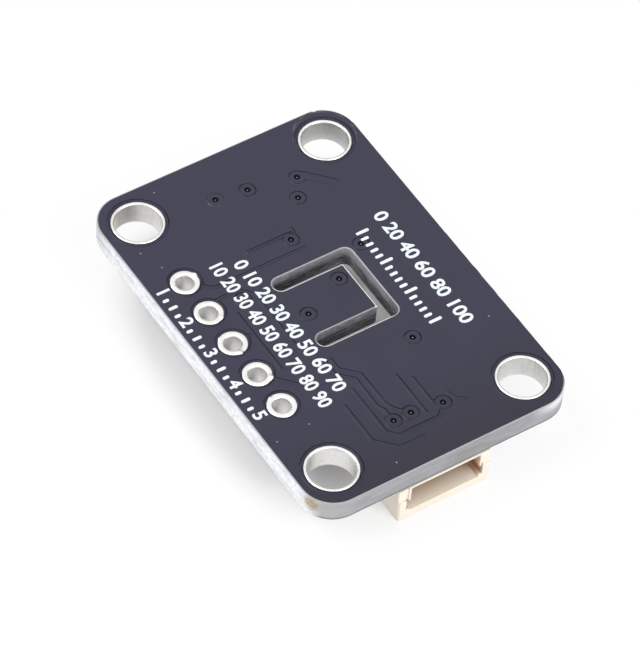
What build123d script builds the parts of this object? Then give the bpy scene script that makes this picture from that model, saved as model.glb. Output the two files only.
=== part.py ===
"""Temperature and humidity sensor module: a routed circuit board on two side-entry sockets.

The board lies printed side up. Its components, and the two sockets that it stands on, are
underneath. X runs along the board, Y across it and Z up; the origin is at the centre of the
footprint, on the surface that the sockets stand on. Sizes are in millimetres.
"""
from build123d import *
import os

os.makedirs("parts", exist_ok=True)

# Board
board_length = 25.0
board_width = 17.1
corner_radius = 2.0
laminate_thickness = 1.44
break_off_step = 0.08
break_off_start = 0.4

# Solder mask and plating
mask_thickness = 0.03
mask_edge_gap = 0.08
relief_height = 0.03
pad_thickness = 0.05
ring_sides = 20

# Mounting holes
mount_inset_x = 2.34
mount_inset_y = 2.2
mount_hole_radius = 1.37
mount_wall = 0.13
mount_pad_width = 0.216
mount_lip = 0.1
mount_relief_width = 0.22

# Header holes
header_count = 5
header_pitch = 2.54
header_inset = 2.2
header_hole_radius = 0.51
header_wall = 0.06
header_pad_width = 0.365
header_relief_width = 0.18
bead_height = 0.11
bead_taper = 35
bead_sides = 8

# Slot round the tongue
slot_width = 1.0
slot_arm_spacing = 4.6
slot_bar_y = 2.64
slot_end_y = -1.7

# Tented vias and tracks
via_hole_radius = 0.15
via_barrel_wall = 0.05
via_pad_radius = 0.42
via_sides = 8
via_film = 0.01
track_width = 0.26
wide_track_width = 0.62

# Sockets
socket_width = 6.1
socket_height = 2.7
socket_depth = 4.25
socket_centre_y = -0.2
mouth_width = 4.6
mouth_floor = 0.6
mouth_roof = 0.15
mouth_depth = 3.0
key_width = 0.25
key_height = 0.8
key_lift = 0.12
rim_wall = 0.12
rim_step = 0.08
pillar_drop = 0.22
pillar_drop_depth = 0.9
socket_edge_chamfer = 0.08

# Socket contacts and hold-down tabs
contact_count = 4
contact_pitch = 1.0
contact_width = 0.2
contact_thickness = 0.18
contact_floor = 1.4
contact_start = 1.2
contact_riser = 3.4
contact_slot_clearance = 0.05
contact_foot = 0.8
tab_start = 2.3
tab_width = 1.2
tab_thickness = 0.2
tab_drop = 1.3
tab_foot = 0.7
socket_pad_gap = 0.05
socket_pad_margin = 0.2

# Sensor chip
sensor_size = 1.5
sensor_height = 0.5
sensor_opening_radius = 0.42
sensor_opening_depth = 0.2
sensor_opening_chamfer = 0.1
sensor_film_radius = 0.32
sensor_film_thickness = 0.03
sensor_terminal = 0.3
sensor_terminal_spacing = 0.8
sensor_standoff = 0.05
sensor_tip_gap = 0.15

# Chip capacitors, chip resistors and indicator light
chip_length = 1.6
chip_width = 0.8
chip_band = 0.3
chip_edge_chamfer = 0.05
chip_band_wrap = 0.03
chip_pad_margin = 0.15
chip_gap = 0.55
capacitor_height = 0.8
resistor_height = 0.45
light_base_height = 0.25
light_lens_height = 0.35
light_lens_taper = 8

# Moulded packages
regulator_length = 2.9
regulator_width = 1.6
regulator_height = 1.0
regulator_span = 2.8
regulator_pitch = 0.95
regulator_lead = 0.4
shifter_length = 2.0
shifter_width = 1.25
shifter_height = 0.9
shifter_span = 2.1
shifter_pitch = 0.65
shifter_lead = 0.22
package_draft = 8
package_standoff = 0.1
lead_thickness = 0.14
lead_foot = 0.38

# Levels
mask_bottom_face = socket_height
laminate_bottom = mask_bottom_face + mask_thickness
laminate_top = laminate_bottom + laminate_thickness
mask_top_face = laminate_top + mask_thickness
pad_face = laminate_bottom - pad_thickness
eyelet_bottom = laminate_bottom - pad_thickness
eyelet_top = laminate_top + pad_thickness

# Places worked out from the sizes
mount_x = board_length / 2 - mount_inset_x
mount_y = board_width / 2 - mount_inset_y
header_y = header_inset - board_width / 2
mount_pad_radius = mount_hole_radius + mount_pad_width
header_pad_radius = header_hole_radius + header_pad_width
slot_outer_x = slot_arm_spacing / 2 + slot_width / 2
tongue_tip_y = slot_bar_y - slot_width / 2
socket_pad_start = socket_depth + socket_pad_gap
socket_pad_end = socket_pad_start + contact_foot + socket_pad_margin
column_x = (slot_outer_x + board_length / 2 - socket_pad_end) / 2
column_step = chip_width + chip_gap
corner_x = board_length / 2 - corner_radius
corner_y = board_width / 2 - corner_radius

mount_places = [(-mount_x, -mount_y), (-mount_x, mount_y), (mount_x, -mount_y), (mount_x, mount_y)]
header_places = [((i - (header_count - 1) / 2) * header_pitch, header_y) for i in range(header_count)]

via_places = [
    (-8.55, 3.4), (-7.2, 2.6), (-9.15, 0.4), (-9.43, -1.6), (-4.75, 0.55), (-0.95, 1.35),
    (0.35, -1.55), (4.7, 2.6), (9.4, 1.5), (9.1, -0.45), (9.1, -1.6), (-2.5, 3.85), (-2.4, -4.15),
]

# Each track is the line of its centre, from one bend to the next
wide_track = [(-8.55, 3.4), (-8.55, 3.75), (-7.0, 5.2)]
tracks = [
    [(9.1, -0.45), (8.4, -1.1), (7.9, -1.32), (5.4, -1.36), (4.5, -2.25), (3.6, -2.25)],
    [(9.1, -1.6), (8.2, -1.62), (7.75, -1.82), (5.55, -1.8), (4.75, -2.6), (3.6, -2.6)],
    [(9.4, 1.5), (10.1, 0.8), (10.1, -1.85), (9.55, -2.38), (6.0, -2.38)],
    [(10.85, -0.6), (10.8, -2.3), (9.65, -3.38), (6.8, -3.38)],
    [(2.54, header_y), (4.5, -4.6), (5.1, -3.9), (5.1, -3.3)],
    [(-5.08, header_y), (-3.9, -5.1), (-3.9, 1.0)],
    [(-2.54, header_y), (-3.1, -5.4), (-3.1, -4.0), (-2.4, -3.4), (1.9, -3.4)],
    [(-7.2, 2.6), (-5.6, 1.0), (-5.2, 1.0), (-5.2, -2.2)],
    [(6.4, 0.3), (9.6, 0.3)],
    [(7.0, 1.0), (9.1, 1.0)],
    [(8.8, 2.05), (9.5, 2.3), (9.9, 2.9)],
    [(-1.8, -5.0), (3.0, -5.0)],
    [(0.0, header_y), (0.0, -5.0)],
]


def routed_slot(width, mode):
    """The U-shaped slot: two arms and a bar, each the path of one round cutter."""
    arm = slot_bar_y - slot_end_y
    for x in (-slot_arm_spacing / 2, slot_arm_spacing / 2):
        with Locations((x, (slot_bar_y + slot_end_y) / 2)):
            SlotCenterToCenter(arm, width, rotation=90, mode=mode)
    with Locations((0, slot_bar_y)):
        SlotCenterToCenter(slot_arm_spacing, width, mode=mode)


def board_outline(inset):
    """The board's rounded rectangle, with the corner where it was broken from its panel."""
    half_length = board_length / 2 - inset
    half_width = board_width / 2 - inset
    RectangleRounded(2 * half_length, 2 * half_width, corner_radius - inset)
    with Locations((-corner_x, corner_y + break_off_start)):
        Rectangle(corner_radius, corner_radius, align=(Align.MAX, Align.MIN), mode=Mode.SUBTRACT)
    with Locations((-corner_x, corner_y)):
        Circle(corner_radius - inset - break_off_step)


def ring_outline(radius, mode=Mode.ADD):
    """The many-sided outline of a pad, or of what fits round a pad or a barrel."""
    RegularPolygon(radius, ring_sides, major_radius=False, mode=mode)


def mask_outline():
    """The mask's sheet, with its openings for the slot and the eyelets."""
    board_outline(mask_edge_gap)
    routed_slot(slot_width + 2 * mask_edge_gap, Mode.SUBTRACT)
    with Locations(*mount_places):
        ring_outline(mount_pad_radius, Mode.SUBTRACT)
    with Locations(*header_places):
        ring_outline(header_pad_radius, Mode.SUBTRACT)


def track_line(points, width):
    """One track: its centre line widened to both sides, with mitred bends."""
    path = [Vector(*point) for point in points]
    steps = [(end - start).normalized() for start, end in zip(path, path[1:])]
    left = []
    right = []
    for point, before, after in zip(path, steps[:1] + steps, steps + steps[-1:]):
        across = (before + after).normalized().rotate(Axis.Z, 90)
        reach = across * (width / 2 / across.dot(before.rotate(Axis.Z, 90)))
        left.append(point + reach)
        right.append(point - reach)
    Polygon(*left, *reversed(right), align=None)


def save(part, name):
    """Label a finished piece and write it to its own file."""
    part.label = name
    export_step(part, f"parts/{name}.step")


# Laminate
with BuildPart() as laminate:
    with BuildSketch(Plane.XY.offset(laminate_bottom)):
        board_outline(0)
        routed_slot(slot_width, Mode.SUBTRACT)
        with Locations(*mount_places):
            ring_outline(mount_hole_radius + mount_wall, Mode.SUBTRACT)
        with Locations(*header_places):
            ring_outline(header_hole_radius + header_wall, Mode.SUBTRACT)
        with Locations(*via_places):
            RegularPolygon(via_hole_radius + via_barrel_wall, via_sides, mode=Mode.SUBTRACT)
    extrude(amount=laminate_thickness)
save(laminate.part, "laminate")

# Via barrels
with BuildPart() as via_barrels:
    with BuildSketch(Plane.XY.offset(laminate_bottom)):
        with Locations(*via_places):
            RegularPolygon(via_hole_radius + via_barrel_wall, via_sides)
            RegularPolygon(via_hole_radius, via_sides, mode=Mode.SUBTRACT)
    extrude(amount=laminate_thickness)
save(via_barrels.part, "via_barrels")

# Printed-side solder mask, raised over tracks, pads and vias
with BuildPart() as solder_mask_top:
    with BuildSketch(Plane.XY.offset(laminate_top)):
        mask_outline()
    extrude(amount=mask_thickness)
    with BuildSketch(Plane.XY.offset(mask_top_face)) as relief:
        for track in tracks:
            track_line(track, track_width)
        track_line(wide_track, wide_track_width)
        with Locations(*via_places):
            RegularPolygon(via_pad_radius, via_sides)
        with Locations(*mount_places):
            ring_outline(mount_pad_radius + mount_relief_width)
        with Locations(*header_places):
            ring_outline(header_pad_radius + header_relief_width)
        with BuildSketch(Plane.XY, mode=Mode.INTERSECT):
            mask_outline()
    extrude(amount=relief_height)
    with BuildSketch(Plane.XY.offset(laminate_top + via_film)):
        with Locations(*via_places):
            RegularPolygon(via_hole_radius, via_sides)
    extrude(amount=mask_thickness + relief_height, mode=Mode.SUBTRACT)
save(solder_mask_top.part, "solder_mask_top")


def make_eyelet(name, x, y, hole_radius, wall, pad_radius, lip=0, beads=()):
    """A plated hole: a thin barrel with a flat ring on each face, and a round bore.

    The lip is the chamfer at both ends of the bore. Each bead is a drop of tin on the upper ring,
    given by its direction and its radius.
    """
    ring_middle = (hole_radius + pad_radius) / 2
    with BuildPart() as eyelet:
        with BuildSketch(Plane.XY.offset(eyelet_bottom)):
            with Locations((x, y)):
                ring_outline(hole_radius + wall)
        extrude(amount=eyelet_top - eyelet_bottom)
        for level in (eyelet_bottom, laminate_top):
            with BuildSketch(Plane.XY.offset(level)):
                with Locations((x, y)):
                    ring_outline(pad_radius)
            extrude(amount=pad_thickness)
        with BuildSketch(Plane.XY.offset(eyelet_bottom)):
            with Locations((x, y)):
                Circle(hole_radius)
        extrude(amount=eyelet_top - eyelet_bottom, mode=Mode.SUBTRACT)
        if lip:
            chamfer(eyelet.edges().filter_by(GeomType.CIRCLE), length=lip)
        for direction, bead_radius in beads:
            middle = Vector(ring_middle, 0, 0).rotate(Axis.Z, direction)
            with BuildSketch(Plane.XY.offset(eyelet_top)):
                with Locations((x + middle.X, y + middle.Y)):
                    RegularPolygon(bead_radius, bead_sides)
            extrude(amount=bead_height, taper=bead_taper)
    save(eyelet.part, name)


# Mounting eyelets
for i, (x, y) in enumerate(mount_places, start=1):
    make_eyelet(f"mounting_eyelet_{i}", x, y, mount_hole_radius, mount_wall, mount_pad_radius, lip=mount_lip)

# Header eyelets, some with drops of tin left on them
header_beads = [
    [(70, 0.145), (5, 0.13)],
    [(-40, 0.14)],
    [(5, 0.145), (-90, 0.14)],
    [(35, 0.14), (60, 0.145)],
    [],
]
for i, ((x, y), beads) in enumerate(zip(header_places, header_beads), start=1):
    make_eyelet(f"header_eyelet_{i}", x, y, header_hole_radius, header_wall, header_pad_radius, beads=beads)


def under(x, y, turn=0):
    """A plane on the pads' lower face, looking down, so that parts grow away from the board."""
    return Plane(origin=(x, y, pad_face), x_dir=Vector(1, 0, 0).rotate(Axis.Z, turn), z_dir=(0, 0, -1))


# Tin pads on the component side are gathered here as (x, y, size along x, size along y)
pads = []


def add_pad_row(x, y, count, pitch, size_x, size_y):
    """Pads in a row along Y."""
    for i in range(count):
        pads.append((x, y + (i - (count - 1) / 2) * pitch, size_x, size_y))


def make_socket(name, side):
    """A side-entry socket, flush with the board's short edge on the given side of the centre."""
    front_x = side * board_length / 2
    face = Plane(origin=(front_x, socket_centre_y, 0), x_dir=(0, -side, 0), z_dir=(-side, 0, 0))
    flank = Plane(origin=(front_x, socket_centre_y, 0), x_dir=(-side, 0, 0), z_dir=(0, side, 0))
    mouth_height = socket_height - mouth_floor - mouth_roof
    slot_pitches = [(i - (contact_count - 1) / 2) * contact_pitch for i in range(contact_count)]
    contact_slot = contact_width + 2 * contact_slot_clearance
    tab_top = pad_face

    with BuildPart() as housing:
        with BuildSketch(face):
            with Locations((0, socket_height / 2)):
                Rectangle(socket_width, socket_height)
        extrude(amount=socket_depth)
        chamfer(housing.edges().filter_by(Axis.Z), length=socket_edge_chamfer)
        # Mouth with its key grooves
        with BuildSketch(face):
            with Locations((0, mouth_floor)):
                Rectangle(mouth_width, mouth_height, align=(Align.CENTER, Align.MIN))
            with Locations((0, mouth_floor + key_lift)):
                Rectangle(mouth_width + 2 * key_width, key_height, align=(Align.CENTER, Align.MIN))
        extrude(amount=mouth_depth, mode=Mode.SUBTRACT)
        # The pillars stand back from the mouth's rim, and are lower than it at the front
        rim_half = mouth_width / 2 + rim_wall
        for way in (-1, 1):
            align = (Align.MIN if way > 0 else Align.MAX, Align.MIN)
            with BuildSketch(face):
                with Locations((way * rim_half, mouth_floor + key_lift + key_height)):
                    Rectangle(socket_width, socket_height, align=align)
            extrude(amount=rim_step, mode=Mode.SUBTRACT)
            with BuildSketch(face):
                with Locations((way * rim_half, socket_height - pillar_drop)):
                    Rectangle(socket_width, socket_height, align=align)
            extrude(amount=pillar_drop_depth, mode=Mode.SUBTRACT)
        # Slots for the contacts through the back wall
        with BuildSketch(face.offset(mouth_depth)):
            with Locations(*[(pitch, contact_floor) for pitch in slot_pitches]):
                Rectangle(contact_slot, socket_height, align=(Align.CENTER, Align.MIN))
        extrude(amount=socket_depth, mode=Mode.SUBTRACT)
        # Pockets for the hold-down tabs
        with BuildSketch(face.offset(tab_start)):
            for way in (-1, 1):
                with Locations((way * (socket_width - tab_thickness) / 2, tab_top - tab_drop)):
                    Rectangle(tab_thickness, socket_height, align=(Align.CENTER, Align.MIN))
        extrude(amount=tab_width, mode=Mode.SUBTRACT)
    save(housing.part, f"{name}_housing")

    foot_low = pad_face - contact_thickness
    riser_end = contact_riser + contact_thickness
    foot_end = socket_pad_start + contact_foot
    blade_top = contact_floor + contact_thickness
    for i, pitch in enumerate(slot_pitches, start=1):
        with BuildPart() as contact:
            with BuildSketch(flank.offset(pitch)) as bent_strip:
                with BuildLine():
                    Polyline(
                        (contact_start, contact_floor),
                        (riser_end, contact_floor),
                        (riser_end, foot_low),
                        (foot_end, foot_low),
                        (foot_end, pad_face),
                        (contact_riser, pad_face),
                        (contact_riser, blade_top),
                        (contact_start, blade_top),
                        close=True,
                    )
                make_face()
                tip = bent_strip.vertices().group_by(Axis((0, 0, 0), (-side, 0, 0)))[0]
                chamfer(tip, length=contact_thickness / 4)
            extrude(amount=contact_width / 2, both=True)
        save(contact.part, f"{name}_contact_{i}")
    add_pad_row(
        side * (board_length / 2 - socket_pad_start - (contact_foot + socket_pad_margin) / 2),
        socket_centre_y,
        contact_count,
        contact_pitch,
        contact_foot + socket_pad_margin,
        contact_width + 2 * socket_pad_margin,
    )

    tab_middle_x = side * (board_length / 2 - tab_start - tab_width / 2)
    for way, hand in ((-1, "left"), (1, "right")):
        with BuildPart() as tab:
            with BuildSketch(face.offset(tab_start)):
                outer = way * socket_width / 2
                inner = outer - way * tab_thickness
                toe = outer + way * tab_foot
                with BuildLine():
                    Polyline(
                        (inner, tab_top - tab_drop),
                        (outer, tab_top - tab_drop),
                        (outer, tab_top - tab_thickness),
                        (toe, tab_top - tab_thickness),
                        (toe, tab_top),
                        (inner, tab_top),
                        close=True,
                    )
                make_face()
            extrude(amount=tab_width)
        save(tab.part, f"{name}_tab_{hand}")
        pad_reach = tab_foot - socket_pad_gap + socket_pad_margin
        pad_y = socket_width / 2 + socket_pad_gap + pad_reach / 2
        pads.append((tab_middle_x, socket_centre_y - side * way * pad_y,
                     tab_width + 2 * socket_pad_margin, pad_reach))


make_socket("near_socket", 1)
make_socket("far_socket", -1)


def make_chip_ends(name, plane, height):
    """The two metal end caps of a chip part."""
    with BuildPart() as ends:
        with BuildSketch(plane):
            for way in (-1, 1):
                with Locations((way * (chip_length - chip_band) / 2, 0)):
                    Rectangle(chip_band, chip_width)
        extrude(amount=height)
        chamfer(ends.edges().filter_by(Axis((0, 0, 0), plane.x_dir)), length=chip_edge_chamfer)
    save(ends.part, name)


def make_chip(name, x, y, height, turn=0):
    """A chip capacitor or resistor: a ceramic body between two metal end caps."""
    plane = under(x, y, turn)
    with BuildPart() as body:
        with BuildSketch(plane.offset(chip_band_wrap)):
            Rectangle(chip_length - 2 * chip_band, chip_width - 2 * chip_band_wrap)
        extrude(amount=height - 2 * chip_band_wrap)
    save(body.part, f"{name}_body")
    make_chip_ends(f"{name}_ends", plane, height)
    add_chip_pads(x, y, turn)


def add_chip_pads(x, y, turn):
    """Two pads, each as wide as the chip's end and a little longer outwards."""
    for way in (-1, 1):
        reach = Vector(way * (chip_length - chip_band + chip_pad_margin) / 2, 0, 0).rotate(Axis.Z, turn)
        size_along = chip_band + chip_pad_margin
        size_across = chip_width + chip_pad_margin
        size_x, size_y = (size_across, size_along) if turn == 90 else (size_along, size_across)
        pads.append((x + reach.X, y + reach.Y, size_x, size_y))


def make_package(name, x, y, length, width, height, span, pitch, lead_width, rows):
    """A moulded package with bent leads on both long sides; rows gives the leads on each side."""
    plane = under(x, y)
    parting = package_standoff + height / 2
    with BuildPart() as body:
        for way in (-1, 1):
            with BuildSketch(plane.offset(parting)):
                Rectangle(width, length)
            extrude(amount=way * height / 2, taper=package_draft)
    save(body.part, f"{name}_body")

    shoulder = span / 2 - lead_foot
    lead_top = parting + lead_thickness / 2
    lead_places = [(way, (i - (n - 1) / 2) * 2 * pitch / max(n - 1, 1)) for way, n in rows for i in range(n)]
    with BuildPart() as leads:
        for way, place in lead_places:
            lead_plane = Plane(origin=(x, y + place, pad_face), x_dir=(way, 0, 0), z_dir=(0, -way, 0))
            with BuildSketch(lead_plane):
                with BuildLine():
                    Polyline(
                        (width / 2, -lead_top),
                        (shoulder + lead_thickness, -lead_top),
                        (shoulder + lead_thickness, -lead_thickness),
                        (span / 2, -lead_thickness),
                        (span / 2, 0),
                        (shoulder, 0),
                        (shoulder, lead_thickness - lead_top),
                        (width / 2, lead_thickness - lead_top),
                        close=True,
                    )
                make_face()
            extrude(amount=lead_width / 2, both=True)
    save(leads.part, f"{name}_leads")
    for way, place in lead_places:
        foot_middle = shoulder + (lead_foot + chip_pad_margin) / 2
        pads.append((x + way * foot_middle, y + place,
                     lead_foot + chip_pad_margin, lead_width + chip_pad_margin))


# Regulator with its two capacitors, on the far side of the slot
regulator_y = 1.3
make_package("regulator", -column_x, regulator_y, regulator_length, regulator_width, regulator_height,
             regulator_span, regulator_pitch, regulator_lead, ((-1, 3), (1, 2)))
capacitor_reach = regulator_length / 2 + chip_gap + chip_width / 2
make_chip("capacitor_1", -column_x, regulator_y + capacitor_reach, capacitor_height)
make_chip("capacitor_2", -column_x, regulator_y - capacitor_reach, capacitor_height)

# Level shifter with the pull-up resistors above and below it, on the near side of the slot
shifter_y = 0.4
make_package("level_shifter", column_x, shifter_y, shifter_length, shifter_width, shifter_height,
             shifter_span, shifter_pitch, shifter_lead, ((-1, 3), (1, 3)))
resistor_reach = shifter_length / 2 + chip_gap + chip_width / 2
for i, way in enumerate((1, 1, -1, -1)):
    step = resistor_reach + (i % 2) * column_step
    make_chip(f"resistor_{i + 1}", column_x, shifter_y + way * step, resistor_height)

# Indicator light and its resistor, between the slot and the long edge
light_y = (slot_bar_y + slot_width / 2 + board_width / 2) / 2
light_x = (chip_length + chip_gap) / 2
make_chip("resistor_5", light_x, light_y, resistor_height)
light_plane = under(-light_x, light_y)
with BuildPart() as light_base:
    with BuildSketch(light_plane):
        Rectangle(chip_length - 2 * chip_band, chip_width)
    extrude(amount=light_base_height)
save(light_base.part, "indicator_light_base")
make_chip_ends("indicator_light_ends", light_plane, light_base_height)
with BuildPart() as light_lens:
    with BuildSketch(light_plane.offset(light_base_height)):
        Rectangle(chip_length - 2 * chip_band, chip_width)
    extrude(amount=light_lens_height, taper=light_lens_taper)
save(light_lens.part, "indicator_light_lens")
add_chip_pads(-light_x, light_y, 0)

# Sensor chip near the tongue's free end, its capacitor behind it
sensor_y = tongue_tip_y - sensor_tip_gap - sensor_size / 2
sensor_plane = under(0, sensor_y)
with BuildPart() as sensor_chip:
    with BuildSketch(sensor_plane.offset(sensor_standoff)):
        Rectangle(sensor_size, sensor_size)
    extrude(amount=sensor_height)
    with BuildSketch(sensor_plane.offset(sensor_standoff + sensor_height)):
        Circle(sensor_opening_radius)
    extrude(amount=-sensor_opening_depth, mode=Mode.SUBTRACT)
    opening_edge = sensor_chip.edges().filter_by(GeomType.CIRCLE).sort_by(Axis.Z)[0]
    chamfer(opening_edge, length=sensor_opening_chamfer)
save(sensor_chip.part, "sensor_chip")
with BuildPart() as sensing_film:
    with BuildSketch(sensor_plane.offset(sensor_standoff + sensor_height - sensor_opening_depth)):
        Circle(sensor_film_radius)
    extrude(amount=sensor_film_thickness)
save(sensing_film.part, "sensing_film")
terminal_places = [
    (sx * (sensor_size - sensor_terminal) / 2, sy * sensor_terminal_spacing / 2)
    for sx in (-1, 1)
    for sy in (-1, 1)
]
with BuildPart() as sensor_terminals:
    with BuildSketch(sensor_plane):
        with Locations(*terminal_places):
            Rectangle(sensor_terminal, sensor_terminal)
    extrude(amount=sensor_standoff)
save(sensor_terminals.part, "sensor_terminals")
for place_x, place_y in terminal_places:
    pads.append((place_x, sensor_y + place_y, sensor_terminal, sensor_terminal))
capacitor_3_y = sensor_y - sensor_size / 2 - chip_gap - chip_width / 2
make_chip("capacitor_3", 0, capacitor_3_y, capacitor_height)

# Component-side pads, and the mask round them
with BuildPart() as component_pads:
    for x, y, size_x, size_y in pads:
        with BuildSketch(Plane.XY.offset(pad_face)):
            with Locations((x, y)):
                Rectangle(size_x, size_y)
    extrude(amount=pad_thickness)
save(component_pads.part, "component_pads")

with BuildPart() as solder_mask_bottom:
    with BuildSketch(Plane.XY.offset(mask_bottom_face)):
        mask_outline()
        for x, y, size_x, size_y in pads:
            with Locations((x, y)):
                Rectangle(size_x, size_y, mode=Mode.SUBTRACT)
    extrude(amount=mask_thickness)
save(solder_mask_bottom.part, "solder_mask_bottom")
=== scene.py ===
"""Finishes and fine shapes of a small temperature and humidity sensor module.

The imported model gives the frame: a routed circuit board, printed side up, on two side-entry
sockets, with its components underneath. Everything is in metres.
"""
import math

import bmesh
import bpy
from bpy.props import FloatProperty, FloatVectorProperty, PointerProperty
from bpy.types import Operator, Panel, PropertyGroup
from mathutils import Matrix, Vector, noise


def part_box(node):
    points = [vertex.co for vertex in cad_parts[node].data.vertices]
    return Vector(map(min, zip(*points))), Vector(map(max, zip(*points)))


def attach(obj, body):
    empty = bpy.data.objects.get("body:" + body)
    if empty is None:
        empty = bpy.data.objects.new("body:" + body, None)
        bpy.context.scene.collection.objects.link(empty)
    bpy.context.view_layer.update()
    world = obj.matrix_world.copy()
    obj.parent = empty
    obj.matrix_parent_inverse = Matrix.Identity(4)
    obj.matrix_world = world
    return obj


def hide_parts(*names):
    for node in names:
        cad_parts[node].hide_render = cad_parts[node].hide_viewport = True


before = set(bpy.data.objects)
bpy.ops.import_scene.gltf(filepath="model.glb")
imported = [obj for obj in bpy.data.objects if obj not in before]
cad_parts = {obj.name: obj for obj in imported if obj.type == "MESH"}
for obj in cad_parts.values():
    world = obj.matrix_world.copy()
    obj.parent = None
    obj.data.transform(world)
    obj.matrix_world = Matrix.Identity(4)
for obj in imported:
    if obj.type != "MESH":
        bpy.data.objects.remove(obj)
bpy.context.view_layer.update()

bl_info = {
    "name": "Sensor Module Dressing",
    "version": (1, 0, 0),
    "blender": (4, 5, 0),
    "location": "View3D > Sidebar > Sensor Module",
    "description": "Gives the packed sensor module its finishes, plating, printing and solder",
    "category": "Object",
}

# The cut edges and the tin wander by this seed, so that every run gives the same shapes
noise.seed_set(1)

MM = 0.001
BODY = "root"

# Gaps that count as none, and the least turn of an edge that is rounded
WELD = 1e-7
LEVEL_TOLERANCE = 2e-7
SHARP_TURN = math.radians(35)

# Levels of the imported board
LAMINATE_LOW, LAMINATE_HIGH = (corner.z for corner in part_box("laminate"))
MASK_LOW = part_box("solder_mask_bottom")[0].z
RELIEF_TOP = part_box("solder_mask_top")[1].z
RELIEF_HEIGHT = 0.03 * MM
MASK_FACE = RELIEF_TOP - RELIEF_HEIGHT

# Bores, the plating's wall and face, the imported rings' sides, and how finely things are turned here
MOUNT_HOLE_RADIUS = 1.37 * MM
HEADER_HOLE_RADIUS = 0.51 * MM
PLATING_WALL = 0.06 * MM
RING_THICKNESS = 0.05 * MM
RING_SIDES = 20
RING_STEPS = 84
RING_ROWS = 9
BLISTER_STEPS = 32

# Counts, the header's pitch in millimetres, and where the sockets' middle lies across the board
MOUNT_HOLES = 4
HEADER_HOLES = 5
HEADER_PITCH = 2.54
CONTACTS = 4
SOCKET_CENTRE = -0.2 * MM

# How the laminate's rims are broken and its walls divided, and where the scored edges begin
BROKEN_RIM = 0.022 * MM
LONGEST_WALL_EDGE = 0.28 * MM
SCORED_EDGE = 8.4 * MM

# The corner broken from its panel: the centre and radii of its arc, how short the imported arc
# falls, and how far over the centre the nick ends
CORNER = Vector((-10.5 * MM, 6.55 * MM, 0))
BROKEN_RADII = (1.92 * MM, 1.84 * MM)
CORNER_STEP = 0.08 * MM
ARC_TOLERANCE = 0.01 * MM
NICK_END = 0.43 * MM

# Across the board, away from the lit side
FAR_SIDE = Vector((-0.8, 0.6, 0))

# A via's blister: radii of its bead, its pit and its flat top, and the via whose flanks get no painted
# shade
BEAD_RADIUS = 0.036 * MM
PIT_RADIUS = 0.19 * MM
BLISTER_RADIUS = 0.43 * MM
BARE_VIA = Vector((-9.44, -1.64, 0)) * MM

# Where the painted shade on the tracks' slopes is left out, so that their relief fades into the mask:
# their ends, and one lead, in millimetres
FADE_RADIUS = 0.4
FADED = ((3.6, -2.25), (3.6, -2.6), (6.0, -2.38), (6.8, -3.38), (5.1, -3.3), (-3.9, 1.0),
         (1.9, -3.4), (-5.2, -2.2), (6.4, 0.3), (9.6, 0.3), (7.0, 1.0), (9.1, 1.0), (9.9, 2.9),
         (8.8, 2.05), (-1.8, -5.0), (3.0, -5.0), (-7.0, 5.2), (10.85, -0.6), (-6.4, 1.8))

# Light specks in the mask, in millimetres
SPECK_RADIUS = 0.07
SPECKS = ((5.55, 7.2), (-6.65, -6.9), (-8.15, -7.4), (-11.65, -4.35), (6.95, -5.75), (7.1, -7.95),
          (11.6, -3.05))


def linear(*screen):
    """A colour read from a screen, 0 to 255, as scene-linear values."""
    shares = [value / 255 for value in screen]
    return tuple(s / 12.92 if s <= 0.04045 else ((s + 0.055) / 1.055) ** 2.4 for s in shares)


def toned(body, *shares):
    """A colour with its channels scaled, all by one share or each by its own."""
    return tuple(c * s for c, s in zip(body, shares * 3 if len(shares) == 1 else shares))


def colour(name, description, default):
    return FloatVectorProperty(name=name, description=description, default=default,
                               subtype="COLOR", size=3, min=0, max=1)


def length(name, description, default):
    return FloatProperty(name=name, description=description, default=default * MM,
                         unit="LENGTH", min=0, precision=6)


class SENSOR_PG_colours(PropertyGroup):
    mask: colour("Solder mask", "Dark blue-violet lacquer on both faces", (0.0200, 0.0190, 0.0440))
    ink: colour("Printing", "White ink of the numbers and scales", linear(232, 240, 243))
    tin: colour("Tin plating", "Tin on the rings, barrels and pads", (0.90, 0.89, 0.87))
    glass_grey: colour("Milled laminate", "Glass laminate where a cutter left it smooth",
                       linear(154, 155, 159))
    glass_pale: colour("Scored laminate", "Glass laminate along the scored long edges",
                       linear(244, 246, 250))
    nylon: colour("Socket plastic", "Cream nylon of the sockets", linear(253, 243, 229))
    compound: colour("Moulding compound", "Black epoxy of the packages", (0.017, 0.017, 0.018))
    ceramic: colour("Capacitor ceramic", "Tan ceramic of the capacitors", linear(168, 134, 98))


class SENSOR_PG_shapes(PropertyGroup):
    relief_skirt: length("Relief skirt", "Width of the slope on each side of a raised track", 0.085)
    print_height: length("Ink height", "How far the ink stands over the raised tracks", 0.008)
    edge_radius: length("Plastic edges", "Rounding of the sockets' moulded edges", 0.035)
    wall_roughness: length("Cut roughness", "How far the cut edges of the laminate wander", 0.014)
    ring_crown: length("Ring crown", "How far the tin bulges over each ring", 0.02)


class SENSOR_PG_stage(PropertyGroup):
    focal_length: FloatProperty(name="Lens", description="Focal length of the camera, in millimetres",
                                default=236.806, min=20, max=500)
    key_power: FloatProperty(name="Key lamp", description="Power of the large soft lamp overhead",
                             default=2.3, unit="POWER", min=0)
    side_power: FloatProperty(name="Side lamp", description="Power of the soft lamp at the short side",
                              default=1.6, unit="POWER", min=0)
    fill_level: FloatProperty(name="Room light", description="Strength of the light from all round",
                              default=0.5, min=0)


def settings():
    scene = bpy.context.scene
    return scene.sensor_colours, scene.sensor_shapes, scene.sensor_stage


# Shader nodes

def _operator(operation, reflected=False):
    def apply(self, other):
        first, second = (other, self) if reflected else (self, other)
        return self.owner.node("Math", {"operation": operation}, {0: first, 1: second})
    return apply


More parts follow.
